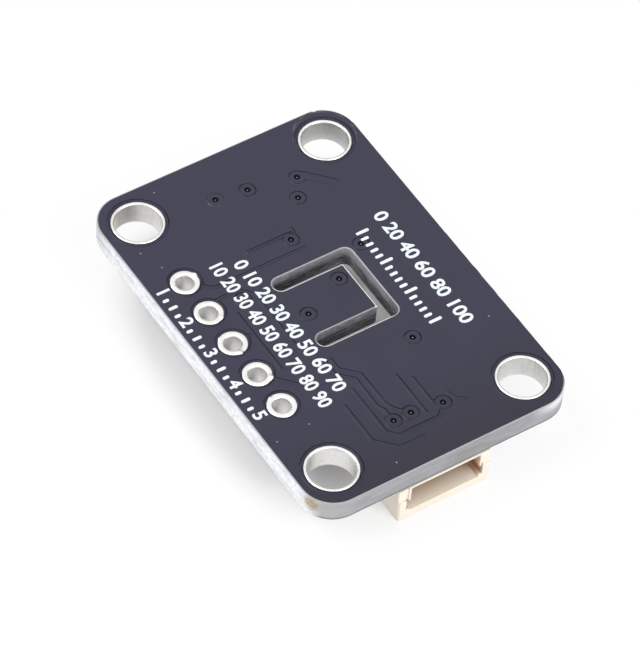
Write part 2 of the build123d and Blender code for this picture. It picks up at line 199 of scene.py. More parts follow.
class Signal:
    """An output of a node. Arithmetic on it adds Math nodes."""

    def __init__(self, owner, socket):
        self.owner = owner
        self.socket = socket

    __add__ = _operator("ADD")
    __radd__ = _operator("ADD", True)
    __sub__ = _operator("SUBTRACT")
    __rsub__ = _operator("SUBTRACT", True)
    __mul__ = _operator("MULTIPLY")
    __rmul__ = _operator("MULTIPLY", True)
    __truediv__ = _operator("DIVIDE")
    __rtruediv__ = _operator("DIVIDE", True)

    def __abs__(self):
        return self.owner.node("Math", {"operation": "ABSOLUTE"}, {0: self})


class Nodes:
    """A node tree that is built by calls."""

    def __init__(self, tree):
        self.tree = tree
        tree.nodes.clear()

    def node(self, kind, settings=None, inputs=None, output=0):
        """Adds a node: its settings first, then the values or links of its sockets."""
        made = self.tree.nodes.new("ShaderNode" + kind)
        for name, value in (settings or {}).items():
            if name == "stops":
                self.set_stops(made.color_ramp, value)
            else:
                setattr(made, name, value)
        for key, value in (inputs or {}).items():
            if isinstance(value, Signal):
                self.tree.links.new(value.socket, made.inputs[key])
            else:
                made.inputs[key].default_value = value
        return Signal(self, made.outputs[output] if made.outputs else None)

    @staticmethod
    def set_stops(ramp, stops):
        while len(ramp.elements) < len(stops):
            ramp.elements.new(1)
        for element, (place, level) in zip(ramp.elements, stops):
            element.position = place
            element.color = (level, level, level, 1) if isinstance(level, (int, float)) else (*level, 1)

    def place(self):
        """Object coordinates, in metres."""
        return self.node("TexCoord", output=3)

    def stretched(self, scale):
        """Object coordinates scaled along each axis."""
        return self.node("Mapping", {"vector_type": "POINT"}, {"Vector": self.place(), "Scale": scale})

    def axis(self, name):
        return self.node("SeparateXYZ", {}, {0: self.place()}, output="XYZ".index(name))

    def along(self, name, span):
        """Place along an axis, as 0 to 1 over a span in millimetres about the middle."""
        return self.axis(name) / (span * MM) + 0.5

    def distance(self, vector, point):
        """How far a vector lies from a point, in metres."""
        return self.node("VectorMath", {"operation": "DISTANCE"}, {0: vector, 1: point}, output=1)

    def cloud(self, size, detail=2, scale=None):
        """Soft noise from 0 to 1, with features of about the given size in millimetres."""
        vector = self.stretched(scale) if scale else self.place()
        return self.node("TexNoise", {}, {"Vector": vector, "Scale": 1 / (size * MM), "Detail": detail})

    def larger(self, first, second):
        return self.node("Math", {"operation": "MAXIMUM"}, {0: first, 1: second})

    def ramp(self, value, *stops):
        return self.node("ValToRGB", {"stops": stops}, {"Fac": value})

    def share(self, value, none, full):
        """0 from one place on and 1 from the other, even between them, whichever is the higher."""
        return self.ramp(value, *sorted(((none, 0), (full, 1))))

    def blend(self, share, first, second):
        first, second = ((*c, 1) if isinstance(c, tuple) else c for c in (first, second))
        return self.node("Mix", {"data_type": "RGBA"}, {0: share, 6: first, 7: second}, output=2)

    def spot(self, centre, radius):
        """1 at a point, falling to 0 at the radius, both in millimetres."""
        gap = self.distance(self.place(), [value * MM for value in centre])
        return self.node("MapRange", {"interpolation_type": "SMOOTHSTEP"},
                         {"Value": gap, "From Min": radius * MM, "From Max": 0.35 * radius * MM,
                          "To Min": 0, "To Max": 1})

    def bump(self, height, distance, normal=None):
        """Fine relief, its depth in millimetres."""
        inputs = {"Height": height, "Distance": distance * MM, "Strength": 1}
        if normal:
            inputs["Normal"] = normal
        return self.node("Bump", {}, inputs)


class Finish(Nodes):
    """A material on one Principled shader."""

    def __init__(self, name):
        self.material = bpy.data.materials.new(name)
        self.material.use_nodes = True
        super().__init__(self.material.node_tree)

    def shade(self, **sockets):
        """Closes the material. Spaces in socket names are written as underscores."""
        named = {key.replace("_", " "): value for key, value in sockets.items()}
        named = {key: (*value, 1) if key.endswith("Color") and isinstance(value, tuple) else value
                 for key, value in named.items()}
        shader = self.node("BsdfPrincipled", {}, named)
        self.node("OutputMaterial", {}, {"Surface": shader})
        return self.material


def laminate_height(f):
    """Height within the laminate, from 0 to 1."""
    return (f.axis("Z") - LAMINATE_LOW) / (LAMINATE_HIGH - LAMINATE_LOW)


def mask_lacquer():
    """Satin lacquer: faint clouding, painted shade towards the near end, orange peel, light specks, a
    smear and a scuff by two corners.
    """
    mask = settings()[0].mask
    f = Finish("solder_mask_lacquer")
    face = MASK_FACE / MM
    base = f.blend(f.cloud(2.6, 3), toned(mask, 0.86), toned(mask, 1.16))
    # Painted shade, darkening the lacquer towards the near end
    near_end_shade = f.share(f.along("X", 30), 0.70, 0.90)
    base = f.blend(near_end_shade * 0.6, base, toned(mask, 0.3))
    for x, y in SPECKS:
        base = f.blend(f.spot((x, y, face), SPECK_RADIUS) * 0.8, base, (0.32, 0.32, 0.33))
    smear = f.spot((11.35, -8.3, face), 0.62) * f.share(f.cloud(0.16, 3), 0.38, 0.62)
    base = f.blend(smear * 0.8, base, (0.010, 0.008, 0.006))
    reach = f.distance(f.place(), (CORNER.x, CORNER.y, RELIEF_TOP)) / (4 * MM)
    band = f.ramp(reach, (0.435, 0), (0.452, 1), (0.470, 1), (0.482, 0))
    scuff = band * f.share(f.cloud(0.7, 4), 0.44, 0.58)
    base = f.blend(scuff * 0.5, base, (0.115, 0.113, 0.118))
    peel = f.bump(f.cloud(0.32, 3), 0.0016)
    grain = f.bump(f.cloud(0.06), 0.0005, peel)
    return f.shade(Base_Color=base, Roughness=0.30 + 0.10 * f.cloud(0.9, 3), Normal=grain)


def slope_lacquer(name, depth, size=1.5, least=0.25):
    """The same lacquer darkened with painted shade on the slopes over the copper's edges, with less
    reflection, fading in and out along them.
    """
    mask = settings()[0].mask
    f = Finish(name)
    fade = f.share(f.cloud(size), 0.38, 0.58)
    base = f.blend(fade, toned(mask, 1 - least * depth), toned(mask, 1 - depth))
    return f.shade(Base_Color=base, Roughness=0.42, Specular_IOR_Level=0.5 - 0.36 * depth)


# Pits painted near black with little reflection, as the shade down a hole
def via_pit():
    f = Finish("via_pit_shade")
    base = f.blend(f.cloud(0.1), (0.001, 0.001, 0.0015), (0.004, 0.0035, 0.006))
    return f.shade(Base_Color=base, Roughness=0.3, Specular_IOR_Level=0.06)


# Beads painted light grey, as a glint in each pit
def via_bead():
    f = Finish("via_bead_glint")
    base = f.blend(f.cloud(0.1), (0.20, 0.20, 0.23), (0.42, 0.42, 0.46))
    return f.shade(Base_Color=base, Roughness=0.3)


def white_ink():
    body = tuple(settings()[0].ink)
    f = Finish("printing_ink")
    worn = f.blend(f.share(f.cloud(0.12, 3), 0.46, 0.30), body, toned(body, 0.86))
    return f.shade(Base_Color=worn, Roughness=0.55, Normal=f.bump(f.cloud(0.05), 0.002))


def tin_plate(name, smooth=0.24, depth=0, worn=0.55):
    """Bright tin from a solder bath, with slow waves and a fine grain.

    With a depth, the barrel of a hole is streaked and darkened inside with painted shade, most high up and
    in the holes towards the far side.
    """
    f = Finish(name)
    bright = tuple(settings()[0].tin)
    tarnish = f.share(f.cloud(0.22, 4), 0.36, 0.72)
    base = f.blend(tarnish * worn, bright, toned(bright, 0.80))
    waves = f.bump(f.cloud(0.20), 0.006)
    grain = f.bump(f.cloud(0.03), 0.0006, waves)
    if depth:
        drawn = f.cloud(0.07, 3, (1, 1, 0.06))
        # Painted shade, darkest just under the lip and in the holes towards the far side; the streaks are
        # strongest there too
        shaded = f.ramp(laminate_height(f), (0, 0.45), (0.45, 0.85), (0.95, 1), (0.98, 0))
        aside = (f.axis("X") * FAR_SIDE.x + f.axis("Y") * FAR_SIDE.y) / (30 * MM) + 0.5
        far_hole_shade = f.ramp(aside, (0.10, 0), (0.36, 0.42), (0.64, 0.22), (0.90, 1))
        base = f.blend(shaded * far_hole_shade * depth, base, toned(bright, 0.34))
        streak = f.ramp(drawn, (0.40, 0.5), (0.56, 0)) * (0.25 + 0.75 * far_hole_shade)
        base = f.blend(shaded * streak * depth, base, toned(bright, 0.45))
        grain = f.bump(drawn, 0.004, grain)
    return f.shade(Base_Color=base, Metallic=1.0, Roughness=smooth + 0.16 * f.cloud(0.12, 3),
                   Normal=grain)


def milled_edge(f, height, layers, smudges):
    """The short edges: smooth grey layers, paler at the near end and dark low down, with a painted
    highlight high on the far corner.
    """
    milled = settings()[0].glass_grey
    place = f.along("Y", 20)
    grey = f.blend(f.share(layers, 0.35, 0.65), toned(milled, 0.93), tuple(milled))
    grey = f.blend(f.share(place, 0.22, 0.06) * 0.7, grey, (0.50, 0.51, 0.47))
    middle = f.ramp(place, (0.36, 0), (0.50, 1), (0.60, 1), (0.72, 0))
    grey = f.blend(middle * 0.4, grey, (0.22, 0.21, 0.20))
    # Painted highlight where the light falls on the far corner, strongest high up
    far_corner_highlight = f.share(place, 0.77, 0.86) * f.ramp(height, (0.40, 0.1), (0.80, 1))
    grey = f.blend(far_corner_highlight * 0.95, grey, (0.92, 0.92, 0.92))
    grey = f.blend(f.ramp(smudges, (0.42, 0), (0.62, 0.3)), grey, (0.50, 0.48, 0.54))
    return f.blend(f.share(height, 0.15, 0.04) * 0.8, grey, (0.12, 0.115, 0.11))


def scored_edge(f, height, fibres, smudges):
    """The long edges: pale, frayed and streaky, and darker towards their far end."""
    scored = settings()[0].glass_pale
    frayed = f.cloud(0.15, 4, (0.8, 0.8, 1))
    pale = f.blend(f.share(smudges, 0.34, 0.54), toned(scored, 0.76), tuple(scored))
    pale = f.blend(f.share(frayed, 0.52, 0.38) * 0.4, pale, (0.50, 0.50, 0.57))
    pale = f.blend(f.share(fibres, 0.44, 0.30) * 0.3, pale, (0.46, 0.48, 0.54))
    dull = f.share(f.along("X", 30), 0.24, 0.07)
    low_down = f.ramp(height, (0.05, 0.35), (0.45, 1))
    streaky = f.ramp(smudges, (0.40, 1), (0.60, 0.55))
    return f.blend(dull * low_down * streaky * 0.8, pale, (0.34, 0.34, 0.38))


def slot_wall(f, height, layers):
    """The slot's walls: torn layers of weave above and charred by the router below, with painted shade
    that deepens towards the bottom, most on the legs, and painted light high on the bar's wall.
    """
    along_x, along_y = (f.along(name, 10) for name in "XY")
    wavy = height + 0.16 * (f.cloud(0.9, 3) - 0.5)
    upper = f.share(wavy, 0.54, 0.59) * f.ramp(along_x, (0.60, 1), (0.67, 0.5))

    # The upper wall: darker towards its foot by painted shade, with painted light on the bar's wall, and
    # torn fibres
    upper_wall = f.blend(f.share(height, 0.60, 0.95), (0.20, 0.195, 0.205), (0.48, 0.47, 0.50))
    upper_wall = f.blend(f.ramp(along_y, (0.76, 0), (0.80, 0.35)), upper_wall, (0.80, 0.78, 0.83))
    torn = f.ramp(f.cloud(0.05, 4, (0.4, 0.4, 1)), (0.40, 0.45), (0.54, 0))
    upper_wall = f.blend(torn, upper_wall, (0.08, 0.08, 0.085))
    weave = f.blend(f.share(layers, 0.36, 0.60), (0.070, 0.072, 0.082), (0.28, 0.283, 0.32))
    weave = f.blend(upper * 0.85, weave, upper_wall)

    # The lower wall: char deepened by painted shade, most low on the legs, and threads dark with painted
    # shadow
    char_and_shade = f.blend(f.share(layers, 0.40, 0.62), (0.032, 0.033, 0.036), (0.18, 0.183, 0.195))
    low_char_and_shade = f.share(wavy, 0.62, 0.40) * f.ramp(along_y, (0.40, 1), (0.68, 0.35))
    routed = f.blend(low_char_and_shade, weave, char_and_shade)
    threads = f.cloud(0.06, 4, (0.10, 0.10, 1.3))
    shadowed = f.ramp(threads, (0.40, 0.8), (0.52, 0)) * (1 - 0.7 * upper)
    routed = f.blend(shadowed, routed, (0.02, 0.02, 0.025))
    return f.blend(f.ramp(threads, (0.54, 0), (0.68, 0.45)), routed, (0.50, 0.50, 0.54))


def slot_rim(f):
    """The slot's rim: pale, with painted shade on the far side of each of its legs."""
    along_x, along_y = (f.along(name, 10) for name in "XY")
    far_arm = f.share(along_x, 0.275, 0.27)
    bar = f.share(along_y, 0.760, 0.765)
    near_arm = (f.ramp(along_x, (0.664, 0), (0.666, 1), (0.73, 1), (0.735, 0))
                * f.share(along_y, 0.703, 0.700))
    edging = f.blend(far_arm, (0.95, 0.93, 0.91), (0.40, 0.39, 0.40))
    edging = f.blend(bar, edging, (0.46, 0.45, 0.47))
    return f.blend(near_arm, edging, (0.38, 0.37, 0.38))


def glass_laminate():
    """Cut glass laminate: layers seen edge on, each kind of edge with its own wear and painted shade."""
    f = Finish("glass_laminate")
    height = laminate_height(f)
    layers = f.cloud(0.16, 4, (0.05, 0.05, 1.6))
    fibres = f.cloud(0.10, 3, (1, 1, 0.5))
    smudges = f.cloud(0.60, 4, (0.35, 0.35, 1.5))

    long_edge = f.share(abs(f.axis("Y")) / (9 * MM), 0.895, 0.944)
    slot = f.distance(f.stretched((0.9, 1.15, 0)), (0, 0.75 * MM, 0)) / (8 * MM)
    inside = f.share(slot, 0.60, 0.52)
    base = f.blend(long_edge, milled_edge(f, height, layers, smudges),
                   scored_edge(f, height, fibres, smudges))
    base = f.blend(inside, base, slot_wall(f, height, layers))

    # The rims, with painted shade that makes them darkest along the far long edge, and a stain at one
    # corner
    rim = f.share(height, 0.955, 0.985)
    far_edge_shade = f.share(f.along("Y", 20), 0.90, 0.92)
    outer = f.blend(far_edge_shade, (0.40, 0.40, 0.43), (0.010, 0.010, 0.014))
    base = f.blend(rim * (0.85 + 0.15 * far_edge_shade), base, f.blend(inside, outer, slot_rim(f)))
    stain = f.spot((11.35, -8.5, 3.65), 0.75) * f.ramp(fibres, (0.28, 0.45), (0.52, 1))
    base = f.blend(stain * 0.9, base, (0.34, 0.27, 0.13))
    rough = f.bump(f.cloud(0.07, 4, (1, 1, 1.8)), 0.012)
    return f.shade(Base_Color=base, Roughness=0.62, Normal=rough, Subsurface_Weight=0.12,
                   Subsurface_Radius=(1, 0.95, 0.85), Subsurface_Scale=0.25 * MM)


def mouth_shade(f, base, body):
    """Painted shade inside the mouths, deeper far inside, and brown painted shade on their side walls and
    in the grooves.
    """
    from_centre = abs(f.axis("X")) / (20 * MM)
    from_middle = abs(f.axis("Y") - SOCKET_CENTRE) / (10 * MM)
    height = f.axis("Z") / (10 * MM)
    above = f.ramp(height, (0.02, 0), (0.05, 1), (0.254, 1), (0.256, 0))
    deep = f.share(from_centre, 0.618, 0.55)
    between = f.share(from_middle, 0.262, 0.260)
    base = f.blend(deep * between * above, base, toned(body, 0.34, 0.26, 0.175))

    walls = f.ramp(from_middle, (0.2285, 0), (0.2295, 1), (0.2305, 1), (0.2315, 0))
    grooves = (f.ramp(from_middle, (0.2295, 0), (0.230, 1), (0.258, 1), (0.260, 0))
               * f.share(height, 0.156, 0.153))
    back_in = f.ramp(from_centre, (0.600, 1), (0.6215, 0.6), (0.6225, 0))
    return f.blend(f.larger(walls, grooves) * back_in * above, base, toned(body, 0.52, 0.33, 0.24))


def cream_nylon():
    f = Finish("socket_nylon")
    body = tuple(settings()[0].nylon)
    base = f.blend(f.cloud(1.2, 3), toned(body, 0.97, 0.95, 0.93), body)
    spark = f.bump(f.cloud(0.05, 3), 0.0018)
    return f.shade(Base_Color=mouth_shade(f, base, body), Roughness=0.42 + 0.1 * f.cloud(0.3),
                   Normal=spark, Subsurface_Weight=0.22, Subsurface_Radius=(1, 0.75, 0.5),
                   Subsurface_Scale=0.35 * MM)


def drawn_metal(name, body, along=(1, 1, 1), rough=0.3):
    """Stamped strip with the fine lines of its rolling."""
    f = Finish(name)
    lines = f.cloud(0.04, 3, along)
    return f.shade(Base_Color=f.blend(lines, toned(body, 0.78), body), Metallic=1.0,
                   Roughness=rough + 0.14 * lines, Normal=f.bump(lines, 0.0012))


def black_compound():
    f = Finish("moulding_compound")
    body = tuple(settings()[0].compound)
    grain = f.cloud(0.035, 4)
    base = f.blend(f.share(grain, 0.45, 0.75), body, toned(body, 2.1))
    return f.shade(Base_Color=base, Roughness=0.48 + 0.14 * grain, Normal=f.bump(grain, 0.0025))


def speckled(name, dark, light, rough):
    """Fired ceramic or cured resin with a fine speckle."""
    f = Finish(name)
    grain = f.cloud(0.05, 4)
    base = f.blend(f.share(grain, 0.35, 0.70), dark, light)
    return f.shade(Base_Color=base, Roughness=rough + 0.12 * grain, Normal=f.bump(grain, 0.0015))


def clear_lens():
    f = Finish("clear_resin")
    haze = f.cloud(0.2, 3)
    return f.shade(Base_Color=f.blend(haze, (0.90, 0.92, 0.86), (0.97, 0.98, 0.95)),
                   Roughness=0.05 + 0.08 * haze, Transmission_Weight=0.85, IOR=1.5)


# Meshes

def placed(name, data):
    """A new object in the scene."""
    made = bpy.data.objects.new(name, data)
    bpy.context.scene.collection.objects.link(made)
    return made


def piece(name, bm, finishes, slot, nodes=(), angle=38, weighted=True):
    """Makes a piece of the finished mesh, sharp where it turns by the angle, and puts it on the body."""
    mesh = bpy.data.meshes.new(name)
    bm.normal_update()
    bm.to_mesh(mesh)
    bm.free()
    if "custom_normal" in mesh.attributes:
        mesh.attributes.remove(mesh.attributes["custom_normal"])
    mesh.shade_smooth()
    mesh.set_sharp_from_angle(angle=math.radians(angle))
    made = placed(name, mesh)
    for finish in finishes if isinstance(finishes, tuple) else (finishes,):
        mesh.materials.append(finish)
    if weighted:
        normals = made.modifiers.new("Flat faces stay flat", "WEIGHTED_NORMAL")
        normals.keep_sharp = True
    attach(made, BODY)
    if nodes:
        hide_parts(*nodes)


def weld(bm, gap=WELD):
    bmesh.ops.remove_doubles(bm, verts=bm.verts, dist=gap)


def node_copy(node, whole_faces=True):
    """A CAD node's mesh as a bmesh, with its loose triangles joined."""
    bm = bmesh.new()
    bm.from_mesh(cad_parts[node].data)
    weld(bm)
    if whole_faces:
        bmesh.ops.dissolve_limit(bm, angle_limit=math.radians(1), verts=bm.verts, edges=bm.edges)
    return bm


def bevelled(bm, edges, width, segments):
    bmesh.ops.bevel(bm, geom=edges, offset=width, offset_type="OFFSET", segments=segments,
                    profile=0.5, affect="EDGES", clamp_overlap=True, material=-1)


def softened(name, node, material, slot, width, segments=2, lip=0):
    """A CAD node with rounded edges, its faces by the board's ends moved out by a lip."""
    bm = node_copy(node)
    end = max(abs(v.co.x) for v in bm.verts) - WELD
    for v in bm.verts:
        if abs(v.co.x) > end:
            v.co.x += math.copysign(lip, v.co.x)
    sharp = [e for e in bm.edges if e.is_manifold and e.calc_face_angle() > SHARP_TURN]
    bevelled(bm, sharp, width, segments)
    piece(name, bm, material, slot, [node])


def paint(nodes, material):
    """A finish for CAD nodes whose shape is kept."""
    for name in nodes:
        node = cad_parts[name]
        node.data.materials.clear()
        node.data.materials.append(material)


def wander(place, size, amount, seed):
    """A small repeatable offset that changes slowly over the given size."""
    return noise.noise_vector(place / size + Vector((seed, 0, 0))) * amount


def lay_back(bm, level, width, drop):
    """Turns the rims of the flat region at a level into slopes of the given width and drop."""
    flat = [f for f in bm.faces if all(abs(v.co.z - level) < LEVEL_TOLERANCE for v in f.verts)]
    slopes = bmesh.ops.inset_region(bm, faces=flat, thickness=width, use_even_offset=True,
                                    use_boundary=True)["faces"]
    crest = {v for f in flat for v in f.verts}
    for v in {v for f in slopes for v in f.verts} - crest:
        v.co.z += drop


def mend_corner(bm):
    """Fills out the corner that was broken from its panel, down to a small nick."""
    for v in bm.verts:
        arm = Vector((v.co.x, v.co.y, 0)) - CORNER
        on_arc = any(abs(arm.length - radius) < ARC_TOLERANCE for radius in BROKEN_RADII)
        if on_arc and arm.x < ARC_TOLERANCE and arm.y > NICK_END:
            v.co += arm.normalized() * CORNER_STEP
    weld(bm)


def islands(bm):
    """The vertices of each separate shell, always in the same order."""
    loose = set(bm.verts)
    for first in bm.verts:
        if first not in loose:
            continue
        loose.remove(first)
        shell = [first]
        for v in shell:
            near = [e.other_vert(v) for e in v.link_edges if e.other_vert(v) in loose]
            loose.difference_update(near)
            shell.extend(near)
        yield shell


def square_walls(bm):
    """Joins the two triangles of each upright wall, by the edges that are neither level nor upright."""
    seams = [e for e in bm.edges if e.is_manifold and e.calc_face_angle() < math.radians(0.5)
             and all(abs(f.normal.z) < 0.1 for f in e.link_faces)
             and 0.02 < abs((e.verts[0].co - e.verts[1].co).normalized().z) < 0.999]
    bmesh.ops.dissolve_edges(bm, edges=seams, use_verts=False)


def cut_laminate():
    """The laminate with softly broken rims and the slightly wandering walls of a routed edge."""
    roughness = settings()[1].wall_roughness
    bm = node_copy("laminate", whole_faces=False)
    mend_corner(bm)
    square_walls(bm)
    lay_back(bm, LAMINATE_HIGH, BROKEN_RIM, -BROKEN_RIM)
    lay_back(bm, LAMINATE_LOW, BROKEN_RIM, BROKEN_RIM)
    for _ in range(6):
        walls = [e for e in bm.edges if e.calc_length() > LONGEST_WALL_EDGE
                 and any(abs(f.normal.z) < 0.9 for f in e.link_faces)]
        if not walls:
            break
        bmesh.ops.subdivide_edges(bm, edges=walls, cuts=1, use_grid_fill=True)
    for v in bm.verts:
        scored = abs(v.co.y) > SCORED_EDGE
        shift = (wander(v.co, 0.5 * MM, roughness * (1.5 if scored else 0.7), 3)
                 + wander(v.co, 0.18 * MM, roughness * (1.0 if scored else 0.4), 11))
        v.co += Vector((shift.x, shift.y, 0))
    piece("laminate_cut", bm, glass_laminate(), "laminate", ["laminate"], angle=30, weighted=False)


def sloped_mask(finishes):
    """The printed side's mask, with the raised tracks' walls laid back into slopes that carry painted
    shade.
    """
    skirt = settings()[1].relief_skirt
    bm = node_copy("solder_mask_top", whole_faces=False)
    mend_corner(bm)
    lay_back(bm, RELIEF_TOP, skirt, MASK_FACE - RELIEF_TOP)
    weld(bm, 5 * WELD)
    bm.normal_update()
    # Slopes facing the far side get more painted shade than those facing near, and none at the faded
    # places
    for f in bm.faces:
        middle = f.calc_center_median() / MM
        faded = any(math.hypot(middle.x - x, middle.y - y) < FADE_RADIUS for x, y in FADED)
        if 0.5 < f.normal.z < 0.99 and not faded:
            f.material_index = 1 if f.normal.dot(FAR_SIDE) > 0 else 2
    piece("solder_mask_relief", bm, finishes, "solder_mask", ["solder_mask_top"], angle=14, weighted=False)


def turned(bm, centre, section, steps, closed=False):
    """Spins a section of (radius, height) points about an upright axis through the centre."""
    line = [bm.verts.new((centre.x + r, centre.y, z)) for r, z in section]
    ends = line[1:] + line[:1] if closed else line[1:]
    edges = [bm.edges.new(pair) for pair in zip(line, ends)]
    bmesh.ops.spin(bm, geom=line + edges, cent=(centre.x, centre.y, 0), axis=(0, 0, 1),
                   angle=math.tau, steps=steps, use_merge=True)


def via_caps(finishes):
    """The lacquer over each via: a round blister whose flanks carry painted shade, more on the far side,
    and a bead painted light as a glint in a pit painted black as shade.
    """
    copper = node_copy("via_barrels")
    centres = [sum((v.co for v in shell), Vector()) / len(shell) for shell in islands(copper)]
    copper.free()
    top = RELIEF_TOP + 0.002 * MM
    section = [(0, top - 0.018 * MM), (0.024 * MM, top - 0.024 * MM), (BEAD_RADIUS, top - 0.042 * MM),
               (0.12 * MM, top - 0.043 * MM), (0.16 * MM, top - 0.012 * MM), (PIT_RADIUS, top),
               (BLISTER_RADIUS, top), (0.46 * MM, top - 0.004 * MM),
               (0.53 * MM, MASK_FACE + 0.001 * MM), (0.54 * MM, MASK_FACE - 0.01 * MM)]
    bm = bmesh.new()
    for centre in centres:
        turned(bm, centre, section, BLISTER_STEPS)
    weld(bm)
    bmesh.ops.recalc_face_normals(bm, faces=bm.faces)
    for f in bm.faces:
        if f.normal.z < 0:
            f.normal_flip()
        middle = f.calc_center_median()
        arm = min((middle - Vector((c.x, c.y, middle.z)) for c in centres), key=lambda gap: gap.length)
        bare = (Vector((middle.x, middle.y, 0)) - BARE_VIA).length < 0.8 * MM
        # Material 4 is the bead's painted glint, 3 the pit's painted shade, and 1 and 2 the flanks'
        # painted shade, far and near
        if arm.length < BEAD_RADIUS:
            f.material_index = 4
        elif arm.length < PIT_RADIUS:
            f.material_index = 3
        elif arm.length > BLISTER_RADIUS and not bare:
            f.material_index = 1 if arm.normalized().dot(FAR_SIDE) > 0.2 else 2
    piece("via_blisters", bm, finishes, "solder_mask", angle=50, weighted=False)


def ring_face(hole_radius, pad_radius, crown):
    """The crowned face of a ring, from the hole outwards, as radii and heights over the laminate."""
    width = pad_radius - hole_radius
    lip = min(0.12 * MM, 0.4 * width)
    face = []
    for i in range(RING_ROWS + 1):
        share = i / RING_ROWS
        across = hole_radius + width * share
        round_in = max(0, 1 - (across - hole_radius) / lip)
        round_out = max(0, 1 - (pad_radius - across) / RING_THICKNESS)
        rise = crown * math.sin(math.pi * min(1, share * 0.9 + 0.05))
        drop_in = lip * (1 - math.sqrt(max(0, 1 - round_in ** 2)))
        drop_out = 0.9 * RING_THICKNESS * (1 - math.sqrt(max(0, 1 - round_out ** 2)))
        face.append((across, RING_THICKNESS + rise - drop_in - drop_out))
    return face


def with_drops(bm, centre, pad_radius, drops, number):
    """Lets the tin of a plated hole wander, and raises drops on the outside of its upper ring."""
    for v in bm.verts:
        flat = Vector((v.co.x - centre.x, v.co.y - centre.y, 0))
        level = v.co.z - LAMINATE_HIGH
        v.co += wander(v.co, 0.35 * MM, 0.006 * MM, 5 + number)
        if level <= 0.003 * MM:
            continue
        v.co.z += wander(v.co, 0.5 * MM, 0.012 * MM, 40 + number).z
        outside = min(1, max(0, (flat.length / pad_radius - 0.55) / 0.25))
        rising = max(outside, min(1, level / RING_THICKNESS))
        for direction, radius, height in drops:
            angle = math.radians(direction)
            outward = Vector((math.cos(angle), math.sin(angle), 0))
            near = (flat - outward * (pad_radius - 0.1 * MM)).length / (radius * MM)
            bulge = rising * height * MM * math.exp(-2 * near ** 2)
            v.co += (1.4 * outward + Vector((0, 0, 1))) * bulge


def plated_hole(number, kind, hole_radius, drops, material):
    """One plated hole: barrel, rolled lips and crowned rings, turned in one piece."""
    corner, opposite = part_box(f"{kind}_eyelet_{number}")
    centre = (corner + opposite) / 2
    pad_radius = (opposite.x - corner.x) / 2 * math.cos(math.pi / RING_SIDES)
    low, high = LAMINATE_LOW, LAMINATE_HIGH
    middle = (high + low) / 2
    face = ring_face(hole_radius, pad_radius, settings()[1].ring_crown)
    barrel = [(hole_radius, z) for z in
              (high - 0.12 * MM, middle + 0.3 * MM, middle - 0.3 * MM, low + 0.12 * MM)]
    outside = [(pad_radius, low), (hole_radius + PLATING_WALL, low), (hole_radius + PLATING_WALL, high),
               (pad_radius, high)]
    section = [(r, high + z) for r, z in reversed(face)] + barrel + [(r, low - z) for r, z in face]
    bm = bmesh.new()
    turned(bm, centre, section + outside, RING_STEPS, closed=True)
    weld(bm)
    bmesh.ops.recalc_face_normals(bm, faces=bm.faces)
    with_drops(bm, centre, pad_radius, drops, number)
    piece(f"{kind}_plating_{number}", bm, material, "tin_plating", [f"{kind}_eyelet_{number}"], angle=60,
          weighted=False)


# Operators

class SENSOR_OT_board(Operator):
    """Cut laminate, sloped solder mask and filled vias"""
    bl_idname = "sensor_module.board"
    bl_label = "Board"

    def execute(self, context):
        lacquer = mask_lacquer()
        cut_laminate()
        # Painted shade on the slopes and the vias' flanks, pits painted black as shade, and beads painted
        # light as a glint
        sloped_mask((lacquer, slope_lacquer("mask_far_slope_shade", 0.75),
                     slope_lacquer("mask_near_slope_shade", 0.35)))
        via_caps((lacquer, slope_lacquer("via_far_flank_shade", 0.85, 0.5, 0),
                  slope_lacquer("via_near_flank_shade", 0.5, 0.5, 0), via_pit(), via_bead()))
        paint(["solder_mask_bottom"], lacquer)
        paint(["via_barrels"], drawn_metal("via_copper", (0.80, 0.42, 0.26)))
        return {"FINISHED"}


class SENSOR_OT_plating(Operator):
    """Tin-plated mounting holes and header holes, with the drops of tin left on them"""
    bl_idname = "sensor_module.plating"
    bl_label = "Plating"

    # Direction in degrees, radius and height in millimetres of each drop of tin
    header_drops = (
        ((105, 0.20, 0.06),),
        ((36, 0.20, 0.03),),
        ((1, 0.20, 0.08), (217, 0.14, 0.04)),
        ((43, 0.22, 0.08),),
        ((204, 0.16, 0.04),),
    )

    def execute(self, context):
        wide = tin_plate("mounting_tin", depth=0.95)
        for number in range(1, MOUNT_HOLES + 1):
            plated_hole(number, "mounting", MOUNT_HOLE_RADIUS, (), wide)
        narrow = tin_plate("header_tin", 0.30, depth=0.01, worn=0.1)
        for number, drops in enumerate(self.header_drops, start=1):
            plated_hole(number, "header", HEADER_HOLE_RADIUS, drops, narrow)
        paint(["component_pads"], tin_plate("pad_tin"))
        return {"FINISHED"}


